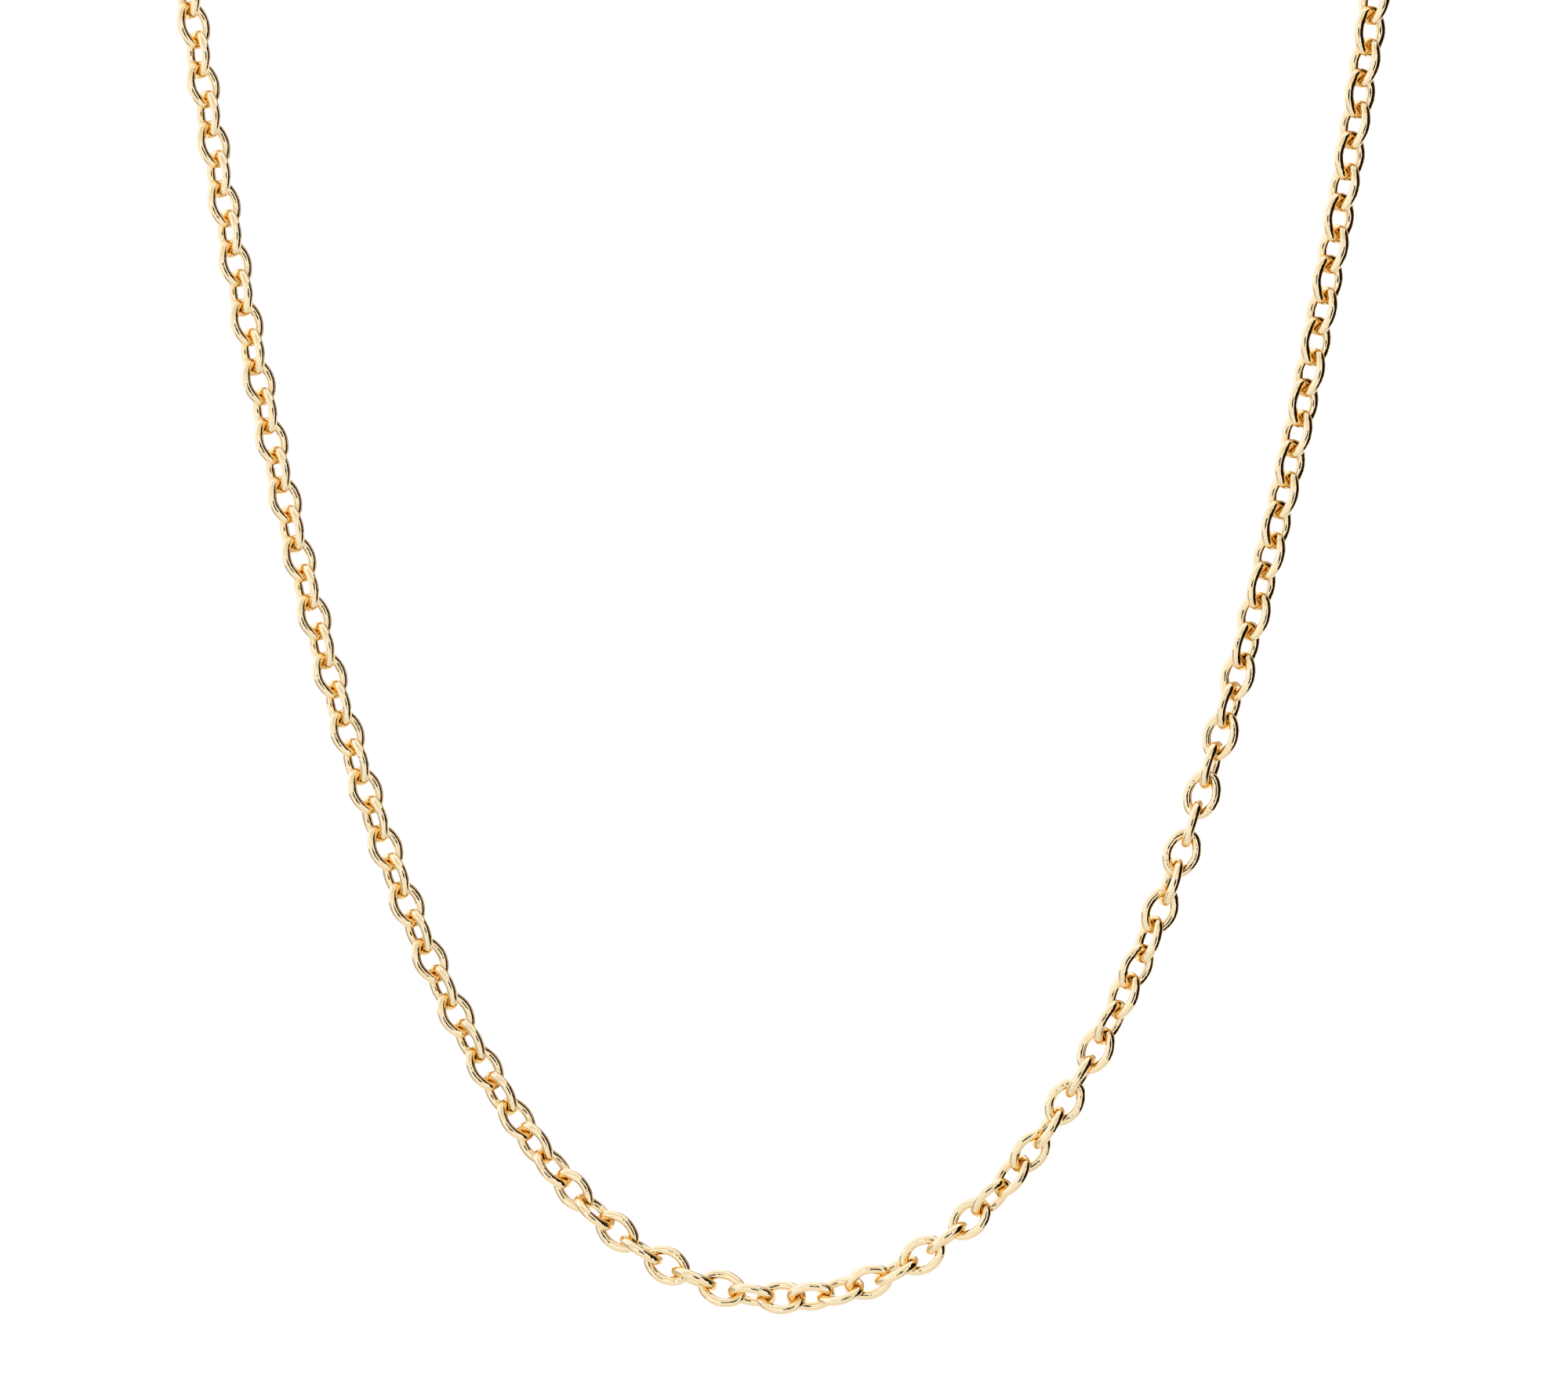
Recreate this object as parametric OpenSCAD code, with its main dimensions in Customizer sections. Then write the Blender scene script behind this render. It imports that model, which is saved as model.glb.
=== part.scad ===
// Rolo chain necklace: oval links of round wire in two halves that meet at the lowest link, closed behind the
// neck by a plain barrel clasp. Millimetres. The front hangs in the XZ plane and faces -Y, and the origin is
// the middle of the neck, level with the part that goes round it.

/* [Links] */
// Diameter of the links' round wire
wire_d = 0.78; // [0.65:0.01:0.8]
// Length of a link over its ends
link_len = 4.24; // [4.18:0.01:4.5]
// Width of a link over its sides
link_w = 3.1; // [3:0.05:3.4]
// Slack between two links that lie in line, most of which a bend between them takes up
link_gap = 0.18; // [0.18:0.01:0.22]

/* [Necklace] */
// Length of the closed necklace along the middle of its links
necklace_len = 508; // [480:1:560]
// Width between the strands where they leave the neck
front_w = 100; // [80:1:105]
// Depth of the hanging front below the neck
front_drop = 112; // [95:1:120]
// Radius of the bend over each side of the neck
neck_bend_r = 14; // [10:1:20]
// Rise of the part behind the neck, in degrees from level
nape_slope = 20; // [0:1:35]

/* [Clasp] */
// Length of the clasp's barrel
barrel_len = 7.6; // [6:0.1:10]
// Diameter of the clasp's barrel
barrel_d = 2.8; // [2.4:0.1:3.6]
// Rounding of the barrel's ends
barrel_round = 0.8; // [0.2:0.1:1]
// Outer diameter of the eye at each end of the barrel
eye_d = 2.6; // [2.4:0.1:3]
// Diameter of the eyes' wire
eye_wire_d = 0.7; // [0.6:0.05:0.8]

/* [Hidden] */
$fn = 72;
GOLD = [0.93, 0.78, 0.49];

// How the links lie, read off the front. Columns: place along the run, where 1 is the top of a strand and -1
// that of the left one; turn of each odd link about the run, in degrees, where 0 faces the front; angle from
// an even link to it; and lean of the links from the run, which zigzags
PLACE = 0;
TURN = 1;
CROSS = 2;
LEAN = 3;
LIE = [
  [-1.50,  47, 90,  0],
  [-1.00,  49, 90,  5],
  [-0.70,  47, 88,  4],
  [-0.45,  43, 84,  3],
  [-0.28,  39, 82,  1],
  [-0.20,  52, 84,  1],
  [-0.10,  92, 93,  2],
  [ 0.00, 134, 96,  1],
  [ 0.10, 174, 90,  0],
  [ 0.16, 216, 91,  0],
  [ 0.21, 249, 87, -1],
  [ 0.31, 308, 90,  0],
  [ 0.37, 333, 93, -1],
  [ 0.45, 367, 90, -1],
  [ 0.53, 384, 86, -2],
  [ 0.62, 397, 88, -4],
  [ 1.00, 397, 84, -4],
  [ 1.50, 389, 90,  0],
];
function lie(column, place) = lookup(place, [for (row = LIE) [row[PLACE], row[column]]]);

function unit(v) = v / norm(v);
function cosh(x) = (exp(x) + exp(-x)) / 2;
function arc_len(r, angle) = r * angle * PI / 180;
function arc_angle(r, len) = len / r * 180 / PI;

// The front hangs as a catenary. Its size, the radius at its lowest point, is found by halving its range.
function catenary_depth(size) = size * (cosh(front_w / 2 / size) - 1);
function catenary_size(low, high, steps) =
  let (mid = (low + high) / 2)
  steps == 0 ? mid
  : catenary_depth(mid) > front_drop ? catenary_size(mid, high, steps - 1)
  : catenary_size(low, mid, steps - 1);
low_r = catenary_size(front_w / 40, front_w * 2, 40);
front_half = sqrt(pow(low_r + front_drop, 2) - pow(low_r, 2));
strand_top = [front_w / 2, 0, front_drop];

// From a strand's top the run bends back over the side of the neck, goes straight beside it and ends in a
// half circle round the nape
strand_way = [low_r, 0, front_half] / (low_r + front_drop);
nape_way = [0, cos(nape_slope), sin(nape_slope)];
bend_angle = acos(strand_way * nape_way);
bend_in = unit(nape_way - (nape_way * strand_way) * strand_way);
bend_half = arc_len(neck_bend_r, bend_angle);
function bend_at(angle) = neck_bend_r * (sin(angle) * strand_way + (1 - cos(angle)) * bend_in);
bend_top = strand_top + bend_at(bend_angle);
nape_r = bend_top[0];
beside_neck = necklace_len / 2 - front_half - bend_half - arc_len(nape_r, 90);
beside_end = bend_top + beside_neck * nape_way;
neck_middle = [0, beside_end[1], beside_end[2]];

// Point of the run at a distance from the lowest link, and the way that an untwisted link faces there
function right_run(s) =
  s < front_half ? [low_r * ln((s + norm([s, low_r])) / low_r), 0, norm([s, low_r]) - low_r]
  : s < front_half + bend_half ? strand_top + bend_at(arc_angle(neck_bend_r, s - front_half))
  : s < front_half + bend_half + beside_neck ? bend_top + (s - front_half - bend_half) * nape_way
  : let (angle = arc_angle(nape_r, s - front_half - bend_half - beside_neck))
    [nape_r * cos(angle), 0, 0] + neck_middle + nape_r * sin(angle) * nape_way;
function run(s) = let (p = right_run(abs(s)) - neck_middle) [sign(s) * p[0], p[1], p[2]];
function run_way(s) = unit(run(s + wire_d) - run(s - wire_d));
function facing(s) =
  let (angle = (90 - nape_slope) * min(max((abs(s) - front_half) / bend_half, 0), 1))
  [0, -cos(angle), sin(angle)];

// The links are counted from the lowest, which is 0. Joint i is where link i meets link i + 1.
clasp_half = barrel_len / 2 + eye_d - eye_wire_d - (eye_wire_d + link_gap) / 2;
chain_half = necklace_len / 2 - clasp_half;
side_links = ceil(chain_half / (link_len - 2 * wire_d - link_gap) - 0.5);
pitch = chain_half / (side_links + 0.5);
function joint(i) =
  let (s = (i + 0.5) * pitch, lean = lie(LEAN, s / front_half))
  run(s) + (i % 2 == 0 ? 1 : -1) * pitch / 2 * tan(lean) * cross(run_way(s), facing(s));
function tilt(i) =
  let (place = i * pitch / front_half)
  lie(TURN, place) - (i % 2 == 0 ? lie(CROSS, place) : 0);

// Frame with X along the way from a to b, and Y turned by an angle from outwards towards the face
function frame(a, b, face, angle) =
  let (
    along = unit(b - a),
    out = unit(cross(along, face)),
    across = cos(angle) * out + sin(angle) * cross(out, along),
    normal = cross(along, across),
    middle = (a + b) / 2
  )
  [for (i = [0:2]) [along[i], across[i], normal[i], middle[i]]];

// An oval link, lying in the XY plane along X: two half rings and the straight sides between them
module link() {
  bow_r = (link_w - wire_d) / 2;
  side_len = link_len - link_w;
  for (end = [0, 1]) mirror([end, 0, 0]) translate([side_len / 2, 0, 0])
    rotate_extrude(angle = 180, start = -90) translate([bow_r, 0]) circle(d = wire_d);
  for (side = [-1, 1]) translate([-side_len / 2, side * bow_r, 0])
    rotate([0, 90, 0]) cylinder(d = wire_d, h = side_len);
}

module links(first, last) {
  for (i = [first:last])
    multmatrix(frame(joint(i - 1), joint(i), facing(i * pitch), tilt(i))) link();
}

module left_chain() {
  color(GOLD) links(-side_links, -1);
}

module right_chain() {
  color(GOLD) links(0, side_links);
}

module barrel() {
  rotate([0, 90, 0]) rotate_extrude() difference() {
    translate([0, -barrel_len / 2]) square([barrel_d / 2, barrel_len]);
    for (end = [0, 1]) mirror([0, end]) translate([barrel_d / 2 - barrel_round, barrel_len / 2 - barrel_round])
      difference() {
        square(barrel_round * 2);
        circle(r = barrel_round);
      }
  }
}

module clasp() {
  eye_r = (eye_d - eye_wire_d) / 2;
  ends = [joint(-side_links - 1), joint(side_links)];
  color(GOLD) multmatrix(frame(ends[0], ends[1], -facing(necklace_len / 2), 0)) {
    barrel();
    for (end = [-1, 1])
      translate([end * (barrel_len / 2 + eye_r), 0, 0]) rotate([tilt(end * side_links) - 90, 0, 0])
        rotate_extrude() translate([eye_r, 0]) circle(d = eye_wire_d);
  }
}

left_chain();
right_chain();
clasp();
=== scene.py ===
# %% [markdown]
# # A rolo chain necklace in polished gold
#
# A rolo chain is the plainest chain there is: oval rings of round wire, all alike, each passed through the
# next a quarter turn on. What makes it look like gold is the polish, which shows the room around it: a white
# studio, a dark stand to one side, and its own neighbours, which tint each other orange where they meet.
#
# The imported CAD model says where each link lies. Blender gives the links their soft oval, smooth surface and
# gold, and the studio they shine in.

# %% Load the CAD model
import math

import bmesh
import bpy
import numpy as np
from mathutils import Matrix, Vector


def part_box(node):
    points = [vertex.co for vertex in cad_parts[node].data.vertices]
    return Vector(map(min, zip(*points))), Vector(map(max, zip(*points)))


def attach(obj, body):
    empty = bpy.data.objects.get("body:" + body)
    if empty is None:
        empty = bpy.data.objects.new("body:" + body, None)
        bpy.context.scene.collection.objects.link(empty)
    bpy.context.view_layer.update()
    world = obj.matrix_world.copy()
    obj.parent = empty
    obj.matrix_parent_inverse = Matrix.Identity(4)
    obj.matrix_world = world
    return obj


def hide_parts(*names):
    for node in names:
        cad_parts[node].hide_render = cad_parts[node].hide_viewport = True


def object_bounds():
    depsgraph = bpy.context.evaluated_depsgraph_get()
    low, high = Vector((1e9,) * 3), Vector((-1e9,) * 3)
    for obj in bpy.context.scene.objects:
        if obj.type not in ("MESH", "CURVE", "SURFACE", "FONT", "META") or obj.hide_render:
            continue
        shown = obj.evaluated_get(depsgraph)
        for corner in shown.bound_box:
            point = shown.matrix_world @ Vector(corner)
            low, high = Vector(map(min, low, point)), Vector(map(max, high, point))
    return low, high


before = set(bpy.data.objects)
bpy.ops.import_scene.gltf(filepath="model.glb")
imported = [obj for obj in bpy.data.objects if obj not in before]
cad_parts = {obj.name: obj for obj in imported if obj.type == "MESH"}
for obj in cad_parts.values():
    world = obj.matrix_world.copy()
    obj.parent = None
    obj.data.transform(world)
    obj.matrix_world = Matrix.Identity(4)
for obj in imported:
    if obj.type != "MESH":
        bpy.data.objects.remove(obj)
cad_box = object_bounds()
MM = 0.001
MERGE = 0.001 * MM
print("CAD box, mm:", [[round(v / MM, 1) for v in corner] for corner in cad_box])

# %% [markdown]
# ## Where the links lie
#
# Each CAD chain is about a hundred loose rings in one mesh. To set a new link in each one's place, its centre
# and its three directions are needed. Joining the loose triangles first and then walking from vertex to
# vertex finds the rings. The way a ring's surface is spread about its centre gives the directions: it reaches
# furthest along its length, less across, and least through its thickness.

# %% Find each ring's place
def loose_rings(node):
    """Each loose ring of a CAD chain, as the corners of its triangles."""
    chain = bmesh.new()
    chain.from_mesh(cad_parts[node].data)
    bmesh.ops.remove_doubles(chain, verts=chain.verts, dist=MERGE)
    bmesh.ops.triangulate(chain, faces=chain.faces)
    seen, rings = set(), []
    for start in chain.verts:
        if start in seen:
            continue
        seen.add(start)
        ring, todo = [], [start]
        while todo:
            vert = todo.pop()
            ring.append(vert)
            for edge in vert.link_edges:
                other = edge.other_vert(vert)
                if other not in seen:
                    seen.add(other)
                    todo.append(other)
        faces = {face for vert in ring for face in vert.link_faces}
        rings.append(np.array([[v.co for v in face.verts] for face in faces]))
    chain.free()
    return rings


def ring_place(corners):
    """A matrix with X along a ring, Y across it and Z through it, at the ring's centre."""
    edges = corners[:, 1:] - corners[:, :1]
    area = np.linalg.norm(np.cross(edges[:, 0], edges[:, 1]), axis=1)
    middles = corners.mean(axis=1)
    centre = (middles * area[:, None]).sum(axis=0) / area.sum()
    off = middles - centre
    spread = np.einsum("i,ij,ik->jk", area, off, off)
    through, across, along = np.linalg.eigh(spread)[1].T
    through = np.cross(along, across)
    turn = Matrix((along, across, through)).transposed().to_4x4()
    return Matrix.Translation(centre) @ turn


PIECE_OF = {"left_chain": "left_links", "right_chain": "right_links"}
places = {node: [ring_place(ring) for ring in loose_rings(node)] for node in PIECE_OF}
for node, found in places.items():
    lowest = min(spot.translation.z for spot in found)
    print(node, "has", len(found), "links, the lowest at z =", round(lowest / MM, 2), "mm")

# %% [markdown]
# ## One link
#
# A link is round wire bent round an oval former and soldered shut. It is made the same way here: one wire
# section is spun through four quarter bows in turn, a tight one at each end and an easy one along each side,
# until it meets its own start. A stretched ring would be simpler, but its wire would be fat at the ends. The
# tight ends hold the next link's wire snugly, so nothing shows through where two links cross. The cage has
# only sixty faces, because it is repeated two hundred times, and a Subdivision Surface modifier rounds it.
# That shrinks it a little, so it is measured as the modifiers leave it and brought to the link's true size.
# Cutting the finished surface into triangles changes no shape, but then Blender gives the size of that
# surface and not of the larger cage. The CAD links are 0.14 mm longer, which keeps them clear of each other.
# These are short enough to meet, as real ones do.

# %% Model the link
LINK_LEN = 4.1 * MM
LINK_WIDTH = 3.1 * MM
WIRE = 0.78 * MM
END_STEPS = 3
SIDE_STEPS = 2
SIDES = 6
SMOOTH = 2
SIZING_ROUNDS = 6
MIDDLE_BAND = 0.2 * MM


def link_cage(length, width, wire_flat, wire_thick):
    """The cage of one link, with X along it and Y across it. The last two are its wire's sizes."""
    half_len, half_width = (length - wire_flat) / 2, (width - wire_flat) / 2
    offset = (half_len - half_width) / (2 - math.sqrt(2))
    end_r, quarter = half_len - offset, math.radians(90)
    cage = bmesh.new()
    bmesh.ops.create_circle(cage, segments=SIDES, radius=0.5)
    bmesh.ops.rotate(cage, verts=cage.verts, matrix=Matrix.Rotation(math.radians(90), 3, "X"))
    bmesh.ops.scale(cage, verts=cage.verts, vec=(wire_flat, 1, wire_thick))
    bmesh.ops.translate(cage, verts=cage.verts, vec=(end_r, 0, 0))
    bmesh.ops.rotate(cage, verts=cage.verts, matrix=Matrix.Rotation(-quarter / 2, 3, "Z"))
    bmesh.ops.translate(cage, verts=cage.verts, vec=(offset, 0, 0))
    section = cage.edges[:]
    for centre, steps in (
        ((offset, 0, 0), END_STEPS),
        ((0, -offset, 0), SIDE_STEPS),
        ((-offset, 0, 0), END_STEPS),
        ((0, offset, 0), SIDE_STEPS),
    ):
        bent = bmesh.ops.spin(cage, geom=section, cent=centre, axis=(0, 0, 1), angle=quarter, steps=steps)
        section = [part for part in bent["geom_last"] if isinstance(part, bmesh.types.BMEdge)]
    bmesh.ops.remove_doubles(cage, verts=cage.verts, dist=MERGE)
    bmesh.ops.recalc_face_normals(cage, faces=cage.faces)
    return cage


def smoothed(piece):
    """The piece's mesh as its modifiers leave it."""
    return piece.evaluated_get(bpy.context.evaluated_depsgraph_get()).to_mesh()


def new_piece(name, cage, material=None):
    """An object made from a finished cage, smoothed by subdivision and then cut into triangles."""
    mesh = bpy.data.meshes.new(name)
    cage.to_mesh(mesh)
    cage.free()
    mesh.shade_smooth()
    piece = bpy.data.objects.new(name, mesh)
    bpy.context.scene.collection.objects.link(piece)
    smooth = piece.modifiers.new("smooth", "SUBSURF")
    smooth.levels = smooth.render_levels = SMOOTH
    piece.modifiers.new("cut", "TRIANGULATE")
    if material:
        mesh.materials.append(material)
    return piece


def measured(length, width, wire_flat, wire_thick):
    """Length, width and wire of a link with this cage, after smoothing."""
    trial = new_piece("trial", link_cage(length, width, wire_flat, wire_thick))
    bpy.context.view_layer.update()
    points = np.array([v.co for v in smoothed(trial).vertices])
    bpy.data.objects.remove(trial)
    side = points[np.abs(points[:, 0]) < MIDDLE_BAND]
    side = side[side[:, 1] > 0]
    reach = np.ptp(points, axis=0)
    return np.array([reach[0], reach[1], np.ptp(side[:, 1]), reach[2]])


wanted = np.array([LINK_LEN, LINK_WIDTH, WIRE, WIRE])
cage_size = wanted.copy()
for _ in range(SIZING_ROUNDS):
    cage_size += wanted - measured(*cage_size)
print("link, wanted and made, mm:", (wanted / MM).round(3), (measured(*cage_size) / MM).round(3))

# %% [markdown]
# ## Gold
#
# Polished yellow gold is a mirror with a colour: all of its look comes from what it reflects, so it is one
# metal shader with a very low roughness. The base colour is the gold seen straight on, and the specular tint
# is the gold seen at a slant, which stays warm and keeps a thin golden line along the edge of every wire.
# Where light bounces from link to link the colour multiplies by itself, and the crossings go deep orange
# without any help. Four faint things keep it from looking like plastic: a soft change of tone from link to
# link, wear that spreads the highlights a little, hairlines from polishing, and dents less than a millimetre
# apart, too shallow to see by themselves, that make the edges of the reflections waver.

# %% Mix the gold
def add(tree, kind, place, **settings):
    node = tree.nodes.new(kind)
    node.location = place
    for key, value in settings.items():
        setattr(node, key, value)
    return node


DEEP_TONE, PALE_TONE = (0.915, 0.645, 0.275, 1), (0.945, 0.665, 0.285, 1)
TONE_AT_A_SLANT = (1.0, 0.8, 0.5, 1)
POLISHED, WORN = 0.015, 0.035
TONE_PATCHES_IN_M = 260
WORN_PATCHES_IN_M = 900
HAIRLINES_IN_M = 1800
DENTS_IN_M = 1300
HAIRLINE_DEPTH, HAIRLINE_STRENGTH = 0.02 * MM, 0.06
HAIRLINE_CLOSENESS = (1.0, 1.0, 6.0)
DENT_DEPTH = 0.06 * MM
ALL_DEEP, ALL_PALE = 0.35, 0.65

gold = bpy.data.materials.new("polished_gold")
gold.use_nodes = True
tree = gold.node_tree
shader = tree.nodes["Principled BSDF"]
shader.inputs["Metallic"].default_value = 1.0
shader.inputs["Specular Tint"].default_value = TONE_AT_A_SLANT
where = add(tree, "ShaderNodeTexCoord", (-1100, 0)).outputs["Object"]


def noise(place, in_a_metre, detail, source=where):
    """Soft random patches, so many in a metre, that follow the object."""
    node = add(tree, "ShaderNodeTexNoise", place)
    node.inputs["Scale"].default_value = in_a_metre
    node.inputs["Detail"].default_value = detail
    tree.links.new(source, node.inputs["Vector"])
    return node.outputs["Fac"]


tones = add(tree, "ShaderNodeValToRGB", (-550, 200))
for end, position, tone in zip(tones.color_ramp.elements, (ALL_DEEP, ALL_PALE), (DEEP_TONE, PALE_TONE)):
    end.position = position
    end.color = tone
tree.links.new(noise((-800, 200), TONE_PATCHES_IN_M, 2), tones.inputs["Fac"])
tree.links.new(tones.outputs["Color"], shader.inputs["Base Color"])

polish = add(tree, "ShaderNodeMapRange", (-550, -100))
polish.inputs["To Min"].default_value = POLISHED
polish.inputs["To Max"].default_value = WORN
tree.links.new(noise((-800, -100), WORN_PATCHES_IN_M, 4), polish.inputs["Value"])
tree.links.new(polish.outputs["Result"], shader.inputs["Roughness"])

# %% Scratch and dent it a little
stretch = add(tree, "ShaderNodeMapping", (-1000, -400))
stretch.inputs["Scale"].default_value = HAIRLINE_CLOSENESS
tree.links.new(where, stretch.inputs["Vector"])
lines = add(tree, "ShaderNodeBump", (-350, -400))
lines.inputs["Strength"].default_value = HAIRLINE_STRENGTH
lines.inputs["Distance"].default_value = HAIRLINE_DEPTH
tree.links.new(noise((-600, -400), HAIRLINES_IN_M, 3, stretch.outputs["Vector"]), lines.inputs["Height"])

uneven = add(tree, "ShaderNodeBump", (-550, -700))
uneven.inputs["Distance"].default_value = DENT_DEPTH
tree.links.new(noise((-800, -700), DENTS_IN_M, 2), uneven.inputs["Height"])
tree.links.new(uneven.outputs["Normal"], lines.inputs["Normal"])
tree.links.new(lines.outputs["Normal"], shader.inputs["Normal"])
print("gold mixed with", len(tree.nodes), "nodes")

# %% [markdown]
# ## The chain
#
# The finished link is copied into every place that the CAD model gave. The links of one CAD chain are one
# piece here too, and it takes that chain's place. Collision stays with the CAD links.

# %% Set the links in their places
def chain_of_links(name, spots):
    """A piece with a link set in each of the places."""
    pattern = bpy.data.meshes.new("link")
    cage = link_cage(*cage_size)
    cage.to_mesh(pattern)
    cage.free()
    chain = bmesh.new()
    for spot in spots:
        before = len(chain.verts)
        chain.from_mesh(pattern)
        chain.verts.ensure_lookup_table()
        bmesh.ops.transform(chain, matrix=spot, verts=chain.verts[before:])
    bmesh.ops.recalc_face_normals(chain, faces=chain.faces)
    return new_piece(name, chain, gold)


for node, name in PIECE_OF.items():
    links = chain_of_links(name, places[node])
    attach(links, "root")
    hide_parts(node)
    faces = len(smoothed(links).polygons)
    print(name, "has", len(places[node]), "links and", faces, "triangles when smoothed")

# %% [markdown]
# ## The clasp
#
# The clasp closes the chain behind the neck, where the photo doesn't reach, so it is a plain barrel with an
# eye at each end. It is turned on a lathe, which is what Spin does: a profile from the axis out to the
# barrel's side, spun all the way round. The eyes are rings whose wire is half sunk in the barrel's ends, each
# square to the link that it holds.

# %% Measure the CAD clasp
low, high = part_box("clasp")
clasp_at = (low + high) / 2
print("clasp box, mm:", [round(v / MM, 2) for v in high - low])

# %% Turn the barrel
BARREL_LEN = 7.6 * MM
BARREL_D = 2.8 * MM
BARREL_ROUND = 0.8 * MM
EYE_D = 2.6 * MM
EYE_WIRE = 0.7 * MM
EYE_SIDES = 8
EDGE = 0.1 * BARREL_ROUND
ROUND_ONCE = {"angle": math.radians(360), "steps": 16, "use_merge": True}


def barrel():
    """A barrel along X."""
    turned = bmesh.new()
    half, radius = BARREL_LEN / 2, BARREL_D / 2
    right = [(half, 0), (half, radius - BARREL_ROUND), (half, radius - EDGE), (half - BARREL_ROUND, radius)]
    right.append((half / 2, radius))
    corners = right + [(-x, z) for x, z in reversed(right)]
    verts = [turned.verts.new((x, 0, z)) for x, z in corners]
    profile = [turned.edges.new(pair) for pair in zip(verts, verts[1:])]
    bmesh.ops.spin(turned, geom=profile, cent=(0, 0, 0), axis=(1, 0, 0), **ROUND_ONCE)
    bmesh.ops.remove_doubles(turned, verts=turned.verts, dist=MERGE)
    bmesh.ops.recalc_face_normals(turned, faces=turned.faces)
    return turned


clasp = barrel()
print("barrel has", len(clasp.faces), "faces")

# %% Bend the eyes
def add_eye(cage, end, angle):
    """A ring of wire at one end of the barrel, turned about the barrel by an angle."""
    before = len(cage.verts)
    section = bmesh.ops.create_circle(cage, segments=EYE_SIDES, radius=EYE_WIRE / 2)["verts"]
    bmesh.ops.rotate(cage, verts=section, matrix=Matrix.Rotation(math.radians(90), 3, "X"))
    eye_r = (EYE_D - EYE_WIRE) / 2
    bmesh.ops.translate(cage, verts=section, vec=(eye_r, 0, 0))
    loop = list({edge for vert in section for edge in vert.link_edges})
    bmesh.ops.spin(cage, geom=loop, cent=(0, 0, 0), axis=(0, 0, 1), **ROUND_ONCE)
    cage.verts.ensure_lookup_table()
    ring = cage.verts[before:]
    bmesh.ops.rotate(cage, verts=ring, matrix=Matrix.Rotation(angle, 3, "X"))
    bmesh.ops.translate(cage, verts=ring, vec=(end * (BARREL_LEN / 2 + eye_r), 0, 0))


def nearest_link(point):
    """The place of the link nearest to a point."""
    spots = places["left_chain"] + places["right_chain"]
    return min(spots, key=lambda spot: (spot.translation - point).length)


for end in (-1, 1):
    held = nearest_link(clasp_at + Vector((end * (BARREL_LEN / 2 + EYE_D), 0, 0)))
    through = held.col[2].to_3d()
    angle = math.atan2(-through.y, through.z) + math.radians(90)
    add_eye(clasp, end, angle)
    side = "left" if end < 0 else "right"
    print(side, "eye turned", round(math.degrees(angle) % 180), "degrees")
bmesh.ops.remove_doubles(clasp, verts=clasp.verts, dist=MERGE)
bmesh.ops.recalc_face_normals(clasp, faces=clasp.faces)
bmesh.ops.translate(clasp, verts=clasp.verts, vec=clasp_at)
barrel_clasp = new_piece("barrel_clasp", clasp, gold)
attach(barrel_clasp, "root")
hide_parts("clasp")

# %% [markdown]
# ## The studio
#
# The photo is a cut-out on white, so all that is left of its studio is what the gold reflects. Read off the
# wires, it was a white tent with cool light, a dark stand to the right of the necklace and a low grey one to
# the left, a pale lit table, and a dark opening in the tent for the lens. The stands and the opening are
# real sheets in their places, because a wire shows them in a different place on each strand. The camera
# doesn't see them. The floor is the plain pale table.

# %% Lay the floor and set up the stands
FLOOR_DEPTH = 110 * MM
FLOOR_SIZE = 6
FLOOR_Z = cad_box[0][2] - FLOOR_DEPTH
PALE = (0.85, 0.85, 0.85)
FLOOR_GLOW = 0.25
MATT_ROUGHNESS = 0.8


def matt(name, colour, glow=0.0):
    """A material that only scatters light, or gives some of its own."""
    material = bpy.data.materials.new(name)
    material.use_nodes = True
    inputs = material.node_tree.nodes["Principled BSDF"].inputs
    inputs["Base Color"].default_value = (*colour, 1)
    inputs["Roughness"].default_value = MATT_ROUGHNESS
    inputs["Specular IOR Level"].default_value = 0
    inputs["Emission Color"].default_value = (1, 1, 1, 1)
    inputs["Emission Strength"].default_value = glow
    return material


def studio_sheet(name, sheet, place, material, seen=False):
    """A flat sheet of the studio, set in its place."""
    bmesh.ops.transform(sheet, matrix=place, verts=sheet.verts)
    mesh = bpy.data.meshes.new(name)
    sheet.to_mesh(mesh)
    sheet.free()
    mesh.materials.append(material)
    stage = bpy.data.objects.new(name, mesh)
    stage.visible_camera = seen
    bpy.context.scene.collection.objects.link(stage)
    return stage


def rectangle(width, height):
    """A sheet with X along its width and Y along its height."""
    sheet = bmesh.new()
    bmesh.ops.create_grid(sheet, x_segments=1, y_segments=1, size=0.5)
    bmesh.ops.scale(sheet, verts=sheet.verts, vec=(width, height, 1))
    return sheet


def standing(x, front, back, top):
    """Where a sheet stands on the floor beside the necklace, and its height and width."""
    height, width = top - FLOOR_Z, back - front
    middle = Matrix.Translation((x, (front + back) / 2, (top + FLOOR_Z) / 2))
    return middle @ Matrix.Rotation(math.radians(90), 4, "Y"), height, width


table = rectangle(FLOOR_SIZE, FLOOR_SIZE)
under = Matrix.Translation((0, 0, FLOOR_Z))
studio_sheet("floor", table, under, matt("lit_table", PALE, FLOOR_GLOW), seen=True)
for name, colour, x, front, back, top in (
    ("dark_stand", (0.015, 0.006, 0.001), 170, -168, 42, 125),
    ("grey_stand", (0.75, 0.75, 0.75), -150, -121, 36, -115),
):
    place, height, width = standing(x * MM, front * MM, back * MM, top * MM)
    studio_sheet(name, rectangle(height, width), place, matt(name, colour))
    print(name, "is", round(width / MM), "mm wide and", round(height / MM), "mm high")

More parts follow.
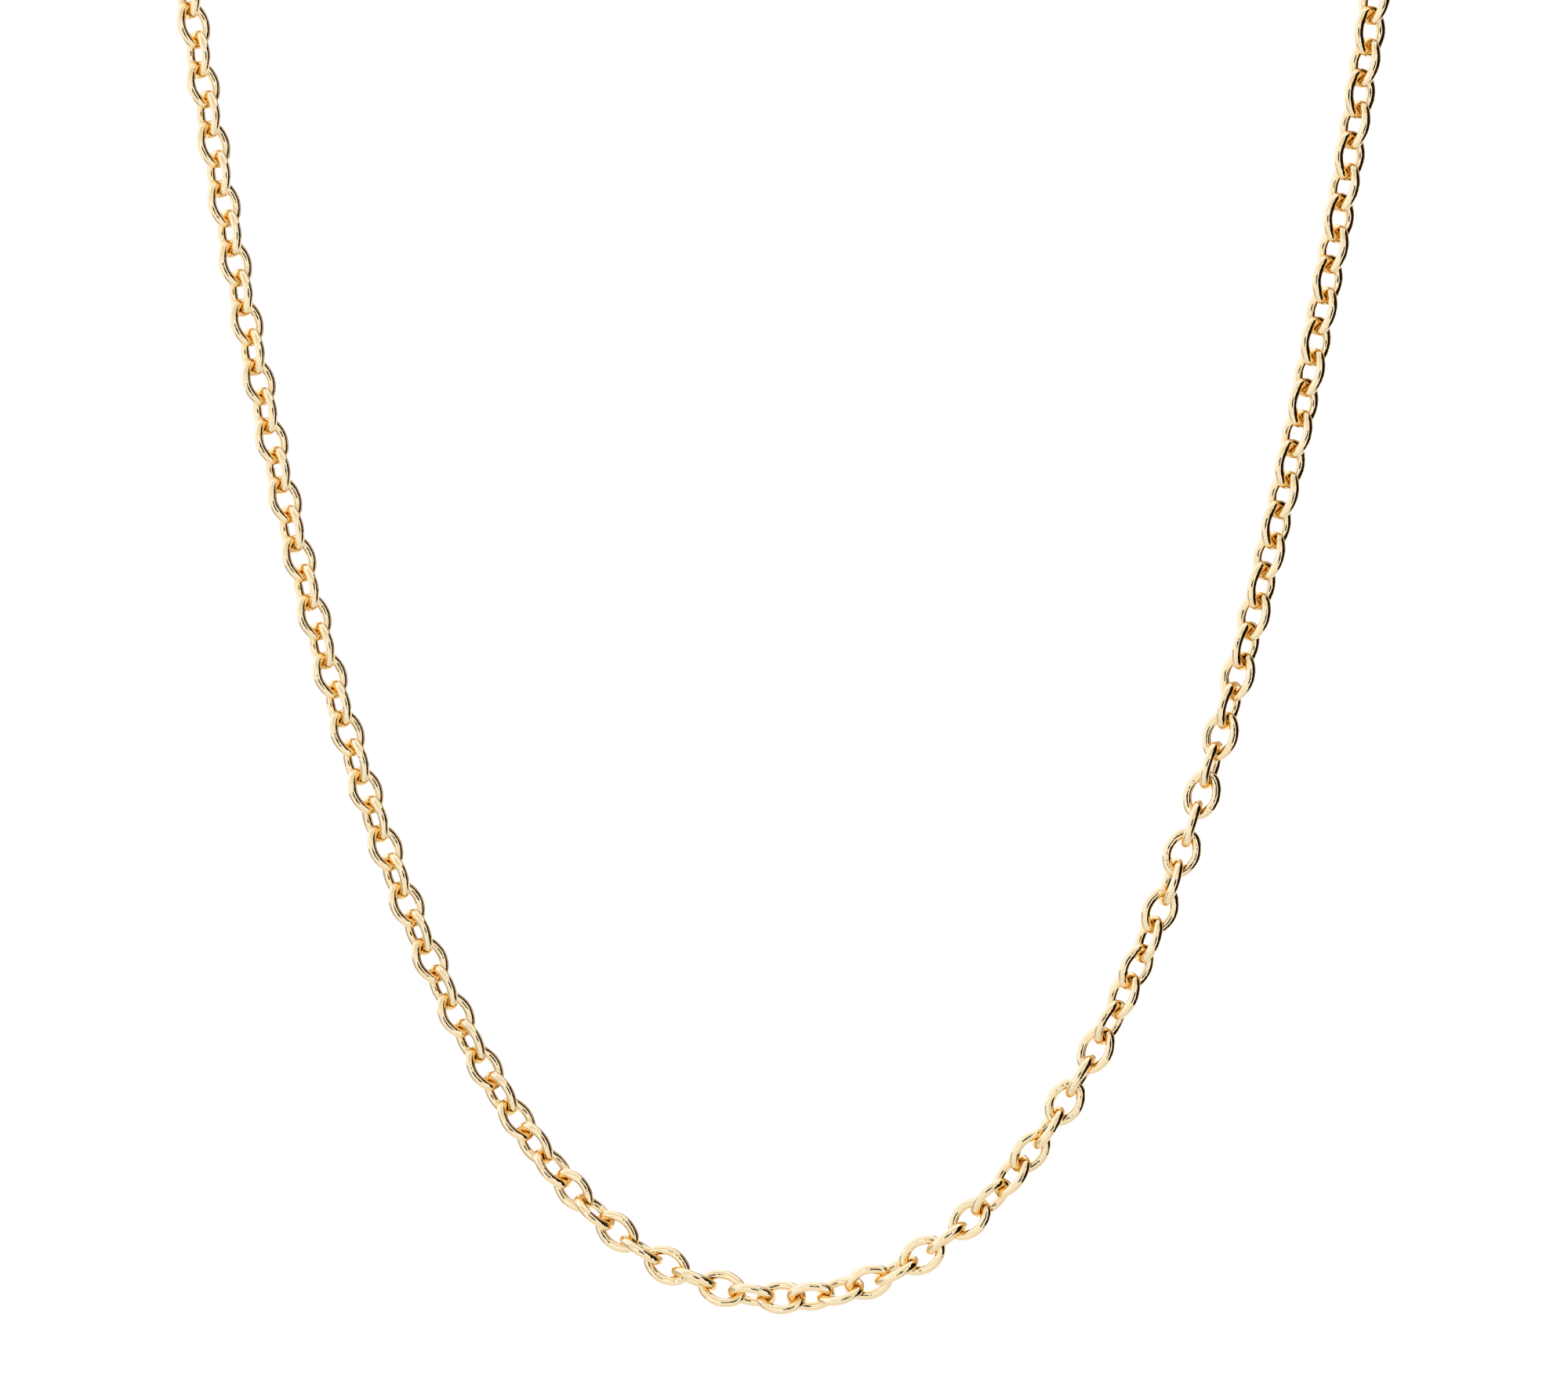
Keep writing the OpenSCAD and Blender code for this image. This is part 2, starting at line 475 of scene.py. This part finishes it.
# %% [markdown]
# ## The tent's light
#
# The tent is the world behind everything. Its light is cool, which is why gold looks pale cream in it. It
# isn't even: it is dimmer high in front, in a narrow strip on each side of the camera, and behind on the
# right. These soft dim zones put the tan stripes along the wires. Each zone is a centre and a half size in
# degrees, round from the front towards the right and up from level.

# %% Light the tent
BRIGHT = (1.10, 1.42, 2.50)
ZONES = (
    {"round": 5, "half_round": 40, "up": 45, "half_up": 20, "blur": 20, "colour": (0.90, 0.93, 1.10)},
    {"round": 150, "half_round": 40, "up": 0, "half_up": 60, "blur": 15, "colour": (0.60, 0.56, 0.60)},
    {"round": -34, "half_round": 7, "up": 0, "half_up": 34, "blur": 9, "colour": (0.88, 0.90, 1.05)},
    {"round": 38, "half_round": 6, "up": 0, "half_up": 34, "blur": 9, "colour": (0.85, 0.86, 1.00)},
)

# Where a Mix node keeps its two colours and what they make
FIRST_COLOUR, SECOND_COLOUR, MIXED = 6, 7, 2

world = bpy.data.worlds.new("tent")
bpy.context.scene.world = world
world.use_nodes = True
sky = world.node_tree


def maths(operation, first, second=0):
    """What a sum on two numbers or sockets gives."""
    node = add(sky, "ShaderNodeMath", (0, 0), operation=operation)
    for socket, value in zip(node.inputs, (first, second)):
        if isinstance(value, (int, float)):
            socket.default_value = value
        else:
            sky.links.new(value, socket)
    return node.outputs[0]


def inside(angle, middle, half, blur):
    """1 where an angle is within half of the middle, and 0 beyond, with a soft edge."""
    off = maths("ABSOLUTE", maths("SUBTRACT", angle, middle))
    edge = add(sky, "ShaderNodeMapRange", (0, 0), interpolation_type="SMOOTHSTEP")
    edge.inputs["From Min"].default_value = half + blur
    edge.inputs["From Max"].default_value = half - blur
    sky.links.new(off, edge.inputs["Value"])
    return edge.outputs["Result"]


way = add(sky, "ShaderNodeSeparateXYZ", (0, 0))
sky.links.new(add(sky, "ShaderNodeTexCoord", (0, 0)).outputs["Generated"], way.inputs["Vector"])
towards_front = maths("MULTIPLY", way.outputs["Y"], -1)
degrees_round = maths("MULTIPLY", maths("ARCTAN2", way.outputs["X"], towards_front), math.degrees(1))
degrees_up = maths("MULTIPLY", maths("ARCSINE", way.outputs["Z"]), math.degrees(1))
light = None
for zone in ZONES:
    blend = add(sky, "ShaderNodeMix", (0, 0), data_type="RGBA")
    amount = maths(
        "MULTIPLY",
        inside(degrees_round, zone["round"], zone["half_round"], zone["blur"]),
        inside(degrees_up, zone["up"], zone["half_up"], zone["blur"]),
    )
    sky.links.new(amount, blend.inputs[0])
    blend.inputs[FIRST_COLOUR].default_value = (*BRIGHT, 1)
    if light:
        sky.links.new(light, blend.inputs[FIRST_COLOUR])
    blend.inputs[SECOND_COLOUR].default_value = (*zone["colour"], 1)
    light = blend.outputs[MIXED]
sky.links.new(light, sky.nodes["Background"].inputs["Color"])
bpy.context.scene.view_settings.view_transform = "Standard"
bpy.context.scene.view_settings.look = "None"
print("tent lit with", len(ZONES), "dimmer zones")

# %% [markdown]
# ## The camera
#
# The camera stands half a metre off and a tenth of a metre to the right, a little above the middle of its
# view, and looks slightly down. From there the left strand is further off than the right one, so its links
# look closer together, as they do in the photo. The opening for its lens is just behind it, and shows as the
# thin dark line along the middle of the wires that face it.

# %% Place the camera
DISTANCE = 500 * MM
YAW, PITCH, ROLL = math.radians(-11.54), math.radians(-2.45), math.radians(-0.40)
TARGET = Vector((0.57, -33.97, -84.84)) * MM
PHOTO_WIDTH_PX, MM_IN_A_PX = 2000, 0.06392
FRAME_WIDTH = PHOTO_WIDTH_PX * MM_IN_A_PX * MM
SENSOR = 36

camera = bpy.data.objects.new("camera", bpy.data.cameras.new("camera"))
bpy.context.scene.collection.objects.link(camera)
bpy.context.scene.camera = camera
forward = Vector((math.sin(YAW) * math.cos(PITCH), math.cos(YAW) * math.cos(PITCH), math.sin(PITCH)))
aim = forward.to_track_quat("-Z", "Y").to_matrix() @ Matrix.Rotation(ROLL, 3, "Z")
camera.location = TARGET - DISTANCE * forward
camera.rotation_euler = aim.to_euler()
camera.data.sensor_width = SENSOR
camera.data.lens = SENSOR * DISTANCE / FRAME_WIDTH
print("camera lens", round(camera.data.lens, 1))

# %% Cut the opening for its lens
OPENING_R = 140 * MM
OPENING_SIDES = 32
OPENING_DROP = Vector((0, 0, -20 * MM))
BEHIND_CAMERA = 5 * MM
opening = bmesh.new()
bmesh.ops.create_circle(opening, cap_ends=True, segments=OPENING_SIDES, radius=OPENING_R)
behind = Matrix.Translation(camera.location - BEHIND_CAMERA * forward + OPENING_DROP)
studio_sheet("opening", opening, behind @ aim.to_4x4(), matt("dark_opening", (0.02, 0.01, 0.004)))
print("opening is", round(2 * OPENING_R / MM), "mm across")
